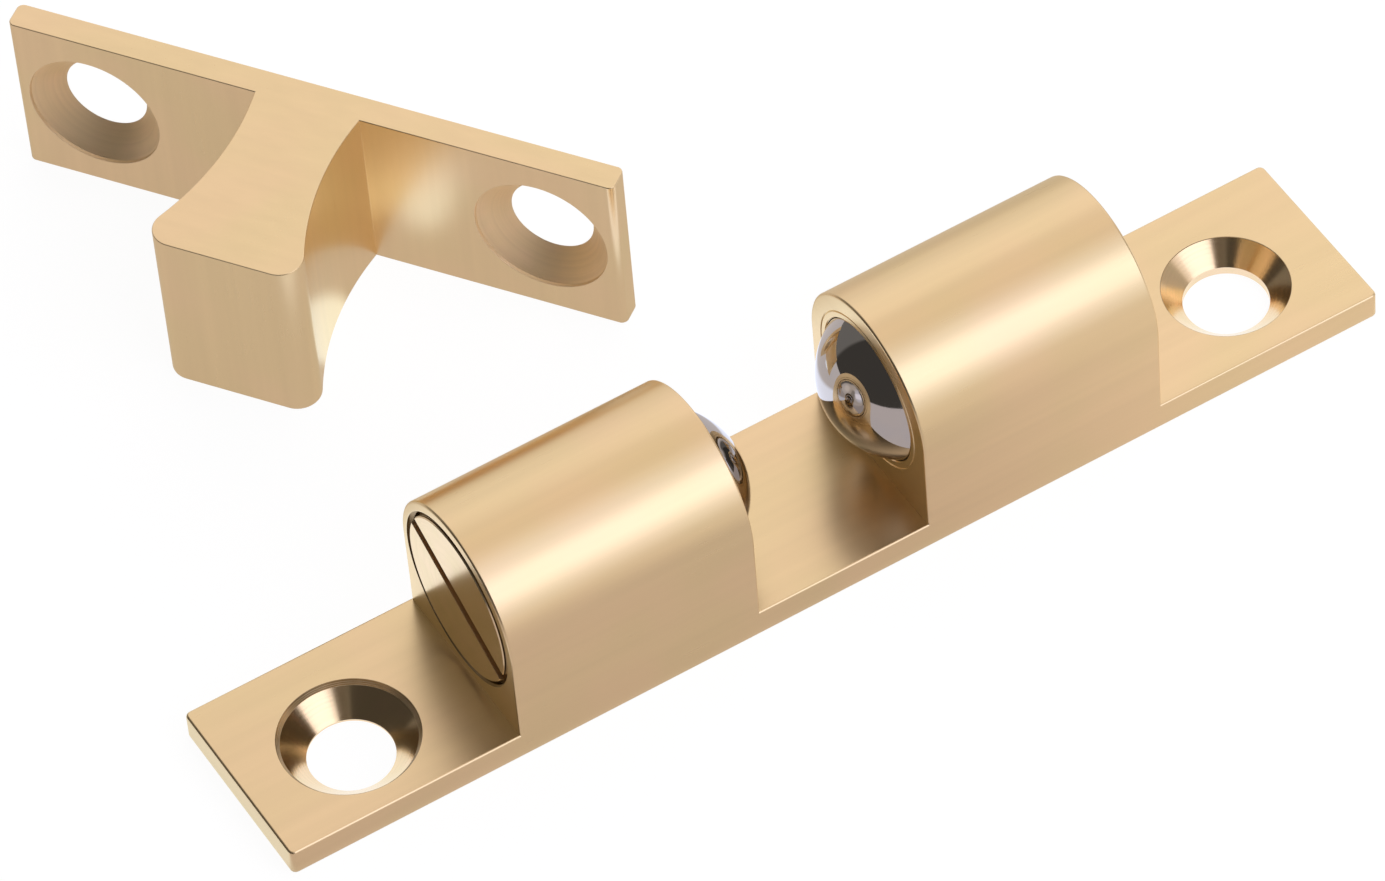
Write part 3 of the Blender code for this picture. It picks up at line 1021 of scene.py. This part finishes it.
@dataclass
class Ball:
    """One hardened ball on its seat."""

    side: Side
    centre: Vector
    radius: float
    rings: int = 64

    def build(self) -> bpy.types.Object:
        """Make the ball with its poles along the bore."""
        bm = bmesh.new()
        bmesh.ops.create_uvsphere(bm, u_segments=2 * self.rings, v_segments=self.rings,
                                  radius=self.radius)
        placed(bm, Matrix.Translation(self.centre) @ Matrix.Rotation(QUARTER_TURN, 4, "Y"))
        finish = PolishedSteel(f"polished_steel_{self.side.word}", tuple(self.centre))
        return piece_from(bm, f"ball_{self.side.word}_polished", [finish.material()],
                          level_faces=False)


@dataclass
class Adjuster:
    """One threaded, slotted adjusting screw with a cup for the spring."""

    side: Side
    face: float
    height: float
    slot_tilt: float
    length: float = 3.55 * MM
    root_radius: float = 4.18 * MM
    crest_radius: float = 4.38 * MM
    collar_radius: float = 4.24 * MM
    collar_length: float = 0.14 * MM
    chamfer: float = 0.05 * MM
    end_chamfer: float = 0.16 * MM
    pocket_radius: float = 2.8 * MM
    pocket_depth: float = 1.9 * MM
    slot_shift: float = 0.15 * MM
    slot_width: float = 0.78 * MM
    slot_depth: float = 0.9 * MM
    trim: float = 0.02 * MM
    cup_chamfer: float = 0.08 * MM
    cup_corner: float = 0.1 * MM
    ridge_sink: float = 0.04 * MM
    ridge_run: float = 0.5 * MM
    rim_share: float = 0.3
    steps: int = 128

    def envelope(self) -> bmesh.types.BMesh:
        """The screw's outside with its chamfers and its cup, the face at x = 0."""
        collar, crest = self.collar_radius, self.crest_radius + self.trim
        floor = self.pocket_depth - self.length
        outline = Outline((0.0, 0.0, 0.0), Y_AXIS)
        outline.to(
            (0.0, 0.0, collar - self.chamfer),
            (-self.chamfer, 0.0, collar),
            (-self.collar_length, 0.0, collar),
            (collar - crest - self.collar_length, 0.0, crest),
            (self.end_chamfer - self.length, 0.0, crest),
            (-self.length, 0.0, crest - self.end_chamfer),
            (-self.length, 0.0, self.pocket_radius + self.cup_chamfer),
            (self.cup_chamfer - self.length, 0.0, self.pocket_radius),
            (floor - self.cup_corner, 0.0, self.pocket_radius),
            (floor, 0.0, self.pocket_radius - self.cup_corner),
            (floor, 0.0, 0.0),
        )
        return outline.turned(X_AXIS, self.steps)

    def core(self) -> bmesh.types.BMesh:
        """The bar at the foot of the thread, longer than the screw, with a plain collar."""
        collar = self.collar_radius + self.trim
        outline = Outline((CUT_MARGIN, 0.0, 0.0), Y_AXIS)
        outline.to(
            (CUT_MARGIN, 0.0, collar),
            (-self.collar_length, 0.0, collar),
            (self.root_radius - collar - self.collar_length, 0.0, self.root_radius),
            (-self.length - CUT_MARGIN, 0.0, self.root_radius),
            (-self.length - CUT_MARGIN, 0.0, 0.0),
        )
        return outline.turned(X_AXIS, self.steps)

    def build(self) -> bpy.types.Object:
        """Thread, trim and slot the screw, and dress it."""
        ridge = Thread().ridge(-self.length - self.ridge_run, self.ridge_run,
                               self.root_radius - self.ridge_sink, self.crest_radius)
        reach, half = self.crest_radius + CUT_MARGIN, self.slot_width / 2
        slot = block((-self.slot_depth, self.slot_shift - half, -reach),
                     (CUT_MARGIN, self.slot_shift + half, reach))
        placed(slot, Matrix.Rotation(self.slot_tilt, 4, "X"))
        work = [
            (in_slot(ridge, 1), Cut.ADD),
            (in_slot(self.envelope(), 0), Cut.KEEP),
            (in_slot(slot, 2), Cut.REMOVE),
        ]
        shape = machined(in_slot(self.core(), 1), work, 3)
        rim = self.collar_radius - self.rim_share * self.chamfer
        # The collar's rim takes the thread's dark painted shade.
        reslot(shape, 0, 1, lambda face: face.calc_center_median().yz.length > rim)
        placed(shape, self.side.facing(self.face, self.height))
        return piece_from(shape, f"adjuster_{self.side.word}_threaded", self.finishes())

    def finishes(self) -> list[bpy.types.Material]:
        """The screw's materials: turned face, thread and collar rim darkened with painted shade, and
        slot.
        """
        centre = (self.side.value * self.face, 0.0, self.height)
        turned = (0.0, QUARTER_TURN, 0.0)
        word = self.side.word
        return [
            CutBrass(f"turned_brass_{word}", centre, turned, cool=(0.85, 0.66, 0.40),
                     warm=(0.88, 0.67, 0.43), roughness=0.19, ring_scale=7.0, ring_bump=0.14,
                     chatter_bump=0.0).material(),
            # Dark brown stands in for shade: painted shade in the thread's deep gap and on the
            # collar's rim.
            CutBrass(f"threaded_brass_{word}", centre, turned, cool=(0.34, 0.24, 0.12),
                     warm=(0.42, 0.30, 0.16), roughness=0.32).material(),
            DrawnBrass(f"slotted_brass_{word}", cool=(0.74, 0.55, 0.31), warm=(0.78, 0.57, 0.33),
                       roughness=0.3).material(),
        ]


@dataclass
class Spring:
    """One compression spring, as two halves cut at its middle."""

    side: Side
    start: float
    end: float
    height: float
    wire_radius: float = 0.25 * MM
    coil_radius: float = 2.3 * MM
    closed_pitch: float = 0.65 * MM
    active_turns: int = 2
    turn_steps: int = 72
    wire_steps: int = 14

    @property
    def middle(self) -> float:
        """Distance of the spring's middle from the middle of the catch."""
        return (self.start + self.end) / 2

    def coil(self) -> bmesh.types.BMesh:
        """Wind the wire along +X, with a closed turn at each end ground flat."""
        span = self.end - self.start - 2 * self.wire_radius
        active = (span - 2 * self.closed_pitch) / self.active_turns
        bm = bmesh.new()
        bmesh.ops.create_circle(bm, cap_ends=True, segments=self.wire_steps,
                                radius=self.wire_radius)
        place = Matrix.Translation((self.wire_radius, 0.0, self.coil_radius))
        placed(bm, place @ Matrix.Rotation(QUARTER_TURN, 4, "X"))
        last = everything(bm)
        closed = (self.closed_pitch, 1)
        for pitch, turns in (closed, (active, self.active_turns), closed):
            steps = turns * self.turn_steps
            last = bmesh.ops.spin(bm, geom=last, cent=ORIGIN, axis=X_AXIS,
                                  dvec=(pitch / self.turn_steps, 0.0, 0.0), angle=turns * math.tau,
                                  steps=steps)["geom_last"]
        bmesh.ops.recalc_face_normals(bm, faces=bm.faces)
        return bm

    def half(self, bm: bmesh.types.BMesh, name: str, keep_far: bool,
             material: bpy.types.Material) -> bpy.types.Object:
        """Keep one half of the wound coil, cut at the spring's middle.

        Args:
            bm: the wound coil in its own place, which is used up.
            name: the new piece's name.
            keep_far: whether the half towards the screw is kept.
            material: the wire's finish.

        Returns:
            The half spring in its place on the catch.
        """
        middle = Vector((self.middle - self.start, 0.0, 0.0))
        cut = bmesh.ops.bisect_plane(bm, geom=everything(bm), plane_co=middle,
                                     plane_no=X_AXIS, clear_inner=keep_far, clear_outer=not keep_far)
        rim = [e for e in cut["geom_cut"] if isinstance(e, bmesh.types.BMEdge)]
        bmesh.ops.edgeloop_fill(bm, edges=rim)
        bmesh.ops.recalc_face_normals(bm, faces=bm.faces)
        placed(bm, self.side.facing(self.start, self.height))
        return piece_from(bm, name, [material], level_faces=False)

    def build(self) -> list[bpy.types.Object]:
        """Make both halves and put them on the catch."""
        word, way = self.side.word, self.side.value
        finish = SpringWire(f"spring_wire_{word}", (way * self.start, 0.0, self.height)).material()
        inner = self.half(self.coil(), f"spring_{word}_ball_end", False, finish)
        outer = self.half(self.coil(), f"spring_{word}_screw_end", True, finish)
        for piece, joint in ((inner, f"{word}_ball_press"), (outer, f"{word}_adjuster_advance")):
            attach(piece, "catch")
            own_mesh(piece)
            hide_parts(f"spring_{word}")
        return [inner, outer]


@dataclass
class Strike:
    """The short T-section bar with its waisted tongue, standing on its T-shaped side."""

    height: float
    place: Matrix
    length: float = 31.79 * MM
    thickness: float = 1.45 * MM
    end_radius: float = 0.35 * MM
    tongue_length: float = 10.3 * MM
    tongue_head: float = 7.72 * MM
    tongue_waist: float = 5.06 * MM
    waist_reach: float = 2.6 * MM
    tip_radius: float = 1.15 * MM
    edge_break: float = 0.055 * MM
    hole_offset: float = 11.8 * MM
    sink_radius: float = 3.45 * MM
    flank_steps: int = 40
    corner_steps: int = 16

    def outline(self) -> Outline:
        """Draw half of the T section from the tip of the tongue, and mirror it.

        The flank's arc touches the waist line and runs smoothly into the tip's rounded corner.
        """
        corner = self.tip_radius
        tip_x = self.tongue_head / 2 - corner
        tip_y = corner - self.tongue_length
        rise = -tip_y - self.waist_reach
        inset = self.tongue_waist / 2 - tip_x
        flank = (inset ** 2 + rise ** 2 - corner ** 2) / (2 * (corner - inset))
        flank_x = self.tongue_waist / 2 + flank
        lean = math.asin(rise / (flank + corner))
        root = math.asin(self.waist_reach / flank)
        end, round_end = self.length / 2, self.end_radius
        section = Outline((0.0, -self.tongue_length, 0.0), Z_AXIS)
        section.to((tip_x, -self.tongue_length, 0.0))
        section.arc((tip_x, tip_y, 0.0), QUARTER_TURN + lean, self.corner_steps)
        section.arc((flank_x, -self.waist_reach, 0.0), -lean - root, self.flank_steps)
        near, far = round_end, self.thickness - round_end
        section.to((end - round_end, 0.0, 0.0))
        section.arc((end - round_end, near, 0.0), QUARTER_TURN, self.corner_steps)
        section.to((end, far, 0.0))
        section.arc((end - round_end, far, 0.0), QUARTER_TURN, self.corner_steps)
        section.to((0.0, self.thickness, 0.0))
        return section.mirrored()

    def build(self) -> bpy.types.Object:
        """Cut the bar to length, break its edges, countersink and dress it."""
        bar = self.outline().extruded((0.0, 0.0, self.height))
        soften(bar, self.edge_break)
        sink = Countersink(self.sink_radius, self.thickness, grooves=1, groove_width=0.04 * MM,
                           groove_depth=0.14 * MM)
        tools = []
        for side in Side:
            centre = Matrix.Translation((side.value * self.hole_offset, 0.0, self.height / 2))
            facing = centre @ Matrix.Rotation(QUARTER_TURN, 4, "X")
            tools.append((placed(sink.tool(1, 1), facing), Cut.REMOVE))
        shape = machined(bar, tools, 2)
        reslot(shape, 0, 2, looks_along(Z_AXIS))
        placed(shape, self.place)
        return piece_from(shape, "strike_plate_drawn", self.finishes())

    def finishes(self) -> list[bpy.types.Material]:
        """The strike's materials: faces drawn upright, countersinks, and the faces cut across."""
        turn = self.place.to_euler().z
        middle = self.place @ Vector((0.0, 0.0, self.height / 2))
        return [
            DrawnBrass("drawn_brass_strike", rotation=(0.0, -QUARTER_TURN, 0.0)).material(),
            CutBrass("countersunk_brass_strike", tuple(middle), (QUARTER_TURN, 0.0, turn),
                     mirrored_at=self.hole_offset, cool=(0.92, 0.73, 0.46), warm=(0.95, 0.74, 0.48),
                     roughness=0.60, ring_bump=0.05).material(),
            DrawnBrass("sawn_brass_strike", rotation=(0.0, 0.0, turn), stretch=0.3).material(),
        ]


# Studio


@dataclass(frozen=True)
class Viewpoint:
    """The camera, at the picture's own viewing angle."""

    eye: tuple[float, float, float] = (-136.508 * MM, -254.344 * MM, 350.103 * MM)
    target: tuple[float, float, float] = (-1.23 * MM, 6.84 * MM, 0.0)
    roll: float = math.radians(-5.339)
    lens: float = 250.07
    sensor: float = 36.0
    clip: tuple[float, float] = (10 * MM, 20.0)

    def build(self) -> None:
        """Place the camera and make it the scene's own."""
        data = bpy.data.cameras.new("studio_camera")
        data.lens, data.sensor_width = self.lens, self.sensor
        data.clip_start, data.clip_end = self.clip
        camera = bpy.data.objects.new("studio_camera", data)
        bpy.context.scene.collection.objects.link(camera)
        aim = Vector(self.target) - Vector(self.eye)
        turn = aim.to_track_quat("-Z", "Y").to_matrix().to_4x4()
        roll = Matrix.Rotation(self.roll, 4, "Z")
        camera.matrix_world = Matrix.Translation(self.eye) @ turn @ roll
        bpy.context.scene.camera = camera


def direction(heading: float, elevation: float) -> Vector:
    """Point along a heading in degrees, which is 0 along +Y and grows towards +X."""
    turn, rise = math.radians(heading), math.radians(elevation)
    level = math.cos(rise)
    return Vector((math.sin(turn) * level, math.cos(turn) * level, math.sin(rise)))


@dataclass(frozen=True)
class Glow:
    """A round, soft-edged patch of added light in the room."""

    heading: float
    elevation: float
    inner: float
    outer: float
    light: Colour

    def laid(self, graph: Graph, towards: Socket, room: object) -> Socket:
        """Add the patch to the room's colour.

        Args:
            graph: the room's graph.
            towards: the direction that is looked in.
            room: the colour under the patch.

        Returns:
            The colour with the patch.
        """
        centre = tuple(direction(self.heading, self.elevation))
        near = graph.vector("DOT_PRODUCT", towards, centre).outputs["Value"]
        edge, core = math.cos(math.radians(self.outer)), math.cos(math.radians(self.inner))
        return graph.blend(graph.fade(near, edge, core), room, self.light, "ADD")


@dataclass(frozen=True)
class Screen:
    """An upright screen in the room, between two headings and below a height."""

    first: float
    last: float
    height: float
    blur: float
    light: Colour

    def laid(self, graph: Graph, towards: Socket, room: object) -> Socket:
        """Hide the room's colour behind the screen.

        Args:
            graph: the room's graph.
            towards: the direction that is looked in.
            room: the colour behind the screen.

        Returns:
            The colour with the screen.
        """
        middle = math.radians(self.first + self.last) / 2
        half, soft = math.radians(self.last - self.first) / 2, math.radians(self.blur) / 2
        faced = graph.add("VectorRotate", {"Vector": towards, "Angle": middle},
                          rotation_type="Z_AXIS")
        parts = graph.parts(faced.outputs["Vector"])
        aside = graph.math("ABSOLUTE", graph.math("ARCTAN2", parts["X"], parts["Y"]))
        rise = graph.math("ARCSINE", parts["Z"])
        top = math.radians(self.height)
        within = graph.fade(aside, half - soft, half + soft, 1.0, 0.0)
        below = graph.fade(rise, top - soft, top + soft, 1.0, 0.0)
        return graph.blend(graph.math("MULTIPLY", within, below), room, self.light)


@dataclass(frozen=True)
class Studio:
    """A pale floor with painted light and shade in its reflections, one soft box and a pale room with
    a dark side.
    """

    floor_size: float = 6.0
    floor_drop: float = 0.02 * MM
    # Painted light and shade on the floor, seen only in reflections: painted shade in front of the
    # catch, painted light behind it and in an oval pool at the strike's foot.
    floor_front_painted_shade: Colour = (0.54, 0.49, 0.50)
    floor_right: Colour = (0.76, 0.70, 0.69)
    floor_back: Colour = (0.60, 0.555, 0.557)
    floor_behind_painted_light: Colour = (1.00, 1.06, 1.26)
    floor_left: Colour = (0.84, 0.91, 1.06)
    floor_foot_painted_light: Colour = (1.05, 1.15, 1.35)
    right_fade: tuple[float, float] = (2.0, 27.0)
    left_fade: tuple[float, float] = (-30.0, -24.0)
    back_fade: tuple[float, float] = (9.5, 12.0)
    front_fade: tuple[float, float] = (-5.4, -4.0)
    foot_scale: tuple[float, float] = (0.31, 0.59)
    foot_shift: tuple[float, float] = (3.75, -13.2)
    foot_fade: tuple[float, float] = (0.7, 1.2)
    floor_glow: float = 0.94
    shadow: float = 0.12
    box_heading: float = 155.0
    box_elevation: float = 40.0
    box_distance: float = 0.42
    box_size: tuple[float, float] = (0.34, 0.20)
    box_radiance: float = 0.50
    box_colour: Colour = (0.90, 0.88, 1.09)
    room: Colour = (0.78, 0.725, 0.70)
    patches: tuple[Glow | Screen, ...] = (
        Glow(157.0, 42.0, 8.0, 42.0, (0.34, 0.445, 0.70)),
        Glow(35.0, 28.0, 12.0, 40.0, (0.15, 0.17, 0.22)),
        Glow(45.0, 38.0, 12.0, 23.5, (0.20, 0.18, 0.15)),
        Glow(82.0, 74.0, 8.0, 26.0, (0.10, 0.08, 0.05)),
        Screen(88.0, 120.0, 62.0, 6.0, (0.48, 0.45, 0.43)),
        Screen(188.0, 232.0, 62.0, 5.0, (0.12, 0.105, 0.09)),
        Screen(210.0, 358.0, 74.0, 20.0, (0.19, 0.18, 0.17)),
        Screen(215.0, 318.0, 60.0, 6.0, (0.06, 0.055, 0.05)),
    )

    def build(self) -> None:
        """Set up the floor, the lamp and the room."""
        self.build_floor()
        self.build_box()
        self.build_room()
        bpy.context.scene.view_settings.view_transform = "Standard"

    def floor_painted_light_and_shade(self, graph: Graph) -> Socket:
        """Painted light and shade that the metal finds in the floor: painted shade in front and
        painted light just behind.

        The fades are places in millimetres, and the foot is an oval pool of painted light where the
        strike stands.
        """
        parts = graph.parts(local_millimetres(graph))
        along, across = parts["X"], parts["Y"]
        front = graph.blend(graph.fade(along, *self.right_fade), self.floor_front_painted_shade, self.floor_right)
        bright = graph.blend(graph.fade(along, *self.left_fade), self.floor_left, self.floor_behind_painted_light)
        behind = graph.blend(graph.fade(across, *self.back_fade), bright, self.floor_back)
        oval = {
            axis: graph.math("MULTIPLY_ADD", parts[axis], scale, shift)
            for axis, scale, shift in zip("XY", self.foot_scale, self.foot_shift)
        }
        outwards = graph.vector("LENGTH", graph.joined(**oval)).outputs["Value"]
        # An oval pool of painted light on the floor where the strike stands.
        foot = graph.fade(outwards, *self.foot_fade, start=1.0, end=0.0)
        behind = graph.blend(foot, behind, self.floor_foot_painted_light)
        return graph.blend(graph.fade(across, *self.front_fade), front, behind)

    def build_floor(self) -> None:
        """Lay the floor: white to the eye with a faint shadow, and with painted light and shade in
        the metal.
        """
        bm = bmesh.new()
        bmesh.ops.create_grid(bm, x_segments=1, y_segments=1, size=self.floor_size / 2)
        bmesh.ops.translate(bm, verts=bm.verts, vec=(0.0, 0.0, -self.floor_drop))
        material = bpy.data.materials.new("studio_floor")
        material.use_nodes = True
        material.node_tree.nodes.clear()
        graph = Graph(material.node_tree)
        # Glossy rays see the floor's painted light and shade, other rays an even white.
        mirrored = graph.add("LightPath").outputs["Is Glossy Ray"]
        colour = graph.blend(mirrored, (self.floor_glow,) * 3, self.floor_painted_light_and_shade(graph))
        glow = graph.add("Emission", {"Color": colour, "Strength": 1.0})
        shadow = graph.add("BsdfDiffuse", {"Color": (self.shadow,) * 3})
        both = graph.add("AddShader", {0: glow.outputs[0], 1: shadow.outputs[0]})
        output = graph.add("OutputMaterial")
        graph.feed(output.inputs["Surface"], both.outputs[0])
        piece_from(bm, "studio_floor", [material], level_faces=False)

    def build_box(self) -> None:
        """Hang the soft box in front, to the right of the eye."""
        width, height = self.box_size
        data = bpy.data.lights.new("soft_box", "AREA")
        data.shape = "RECTANGLE"
        data.size, data.size_y = width, height
        data.energy = self.box_radiance * math.pi * width * height
        data.color = self.box_colour
        lamp = bpy.data.objects.new("soft_box", data)
        bpy.context.scene.collection.objects.link(lamp)
        towards = direction(self.box_heading, self.box_elevation)
        turn = towards.to_track_quat("Z", "Y").to_matrix().to_4x4()
        lamp.matrix_world = Matrix.Translation(towards * self.box_distance) @ turn
        lamp.visible_camera = False

    def build_room(self) -> None:
        """Make the room pale all round, white to the eye and dark on one side."""
        world = bpy.data.worlds.new("studio_room")
        bpy.context.scene.world = world
        world.use_nodes = True
        world.node_tree.nodes.clear()
        graph = Graph(world.node_tree)
        towards = graph.add("TexCoord").outputs["Generated"]
        colour: object = self.room
        for patch in self.patches:
            colour = patch.laid(graph, towards, colour)
        path = graph.add("LightPath").outputs
        white = graph.math("MAXIMUM", path["Is Camera Ray"], path["Is Transmission Ray"])
        seen = graph.blend(white, colour, (1.0, 1.0, 1.0))
        glow = graph.add("Background", {"Color": seen, "Strength": 1.0})
        output = graph.add("OutputWorld")
        graph.feed(output.inputs["Surface"], glow.outputs[0])


# The whole part


@dataclass
class BallCatch:
    """The catch and its strike, fitted to the frame's own sizes."""

    slot_tilts: dict[Side, float] = field(
        default_factory=lambda: {Side.LEFT: math.radians(62.5), Side.RIGHT: math.radians(-37.5)}
    )
    screw_stand: float = 0.05 * MM
    strike_turn: float = math.radians(-54.1)
    strike_place: tuple[float, float] = (-9.4 * MM, 27.7 * MM)

    def build(self) -> None:
        """Build every piece and put it on the body that carries it."""
        low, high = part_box("catch_body")
        ball_low, ball_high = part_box("ball_right")
        centre = (ball_low + ball_high) / 2
        ball_radius = (ball_high.x - ball_low.x) / 2
        body = CatchBody(high.x, high.y, high.z, centre.x, ball_radius)
        self.fit(body.build(), "catch", "body_brass", "catch_body")
        for side in Side:
            word = side.word
            ball = Ball(side, Vector((side.value * centre.x, centre.y, centre.z)), ball_radius)
            self.fit(ball.build(), f"{word}_ball", "ball_steel", f"ball_{word}")
            face, tilt = body.tower_outer + self.screw_stand, self.slot_tilts[side]
            screw = Adjuster(side, face, centre.z, tilt)
            self.fit(screw.build(), f"{word}_adjuster", "adjuster_brass", f"adjuster_{word}")
            ends = sorted(abs(corner.x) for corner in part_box(f"spring_{word}"))
            for piece in Spring(side, ends[0], ends[1], centre.z).build():
                LOG.info("built %s", piece.name)
        strike_low, strike_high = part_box("strike_plate")
        place = Matrix.Translation((*self.strike_place, strike_low.z))
        turn = Matrix.Rotation(self.strike_turn, 4, "Z")
        strike = Strike(strike_high.z - strike_low.z, place @ turn)
        self.fit(strike.build(), "catch", "strike_brass", "strike_plate")

    @staticmethod
    def fit(piece: bpy.types.Object, body: str, slot: str, node: str) -> None:
        """Let a piece ride on its body in place of the plain solid.

        Args:
            piece: the dressed piece.
            body: the body that carries it.
            slot: the record's material slot, which is not used.
            node: the solid that it stands for.
        """
        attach(piece, body)
        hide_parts(node)
        LOG.info("built %s with %d faces", piece.name, len(piece.data.polygons))


def main() -> None:
    """Build the studio and the part, and report each piece."""
    logging.basicConfig(level=logging.INFO, format="%(name)s: %(message)s")
    Viewpoint().build()
    Studio().build()
    BallCatch().build()


if __name__ == "__main__":
    main()
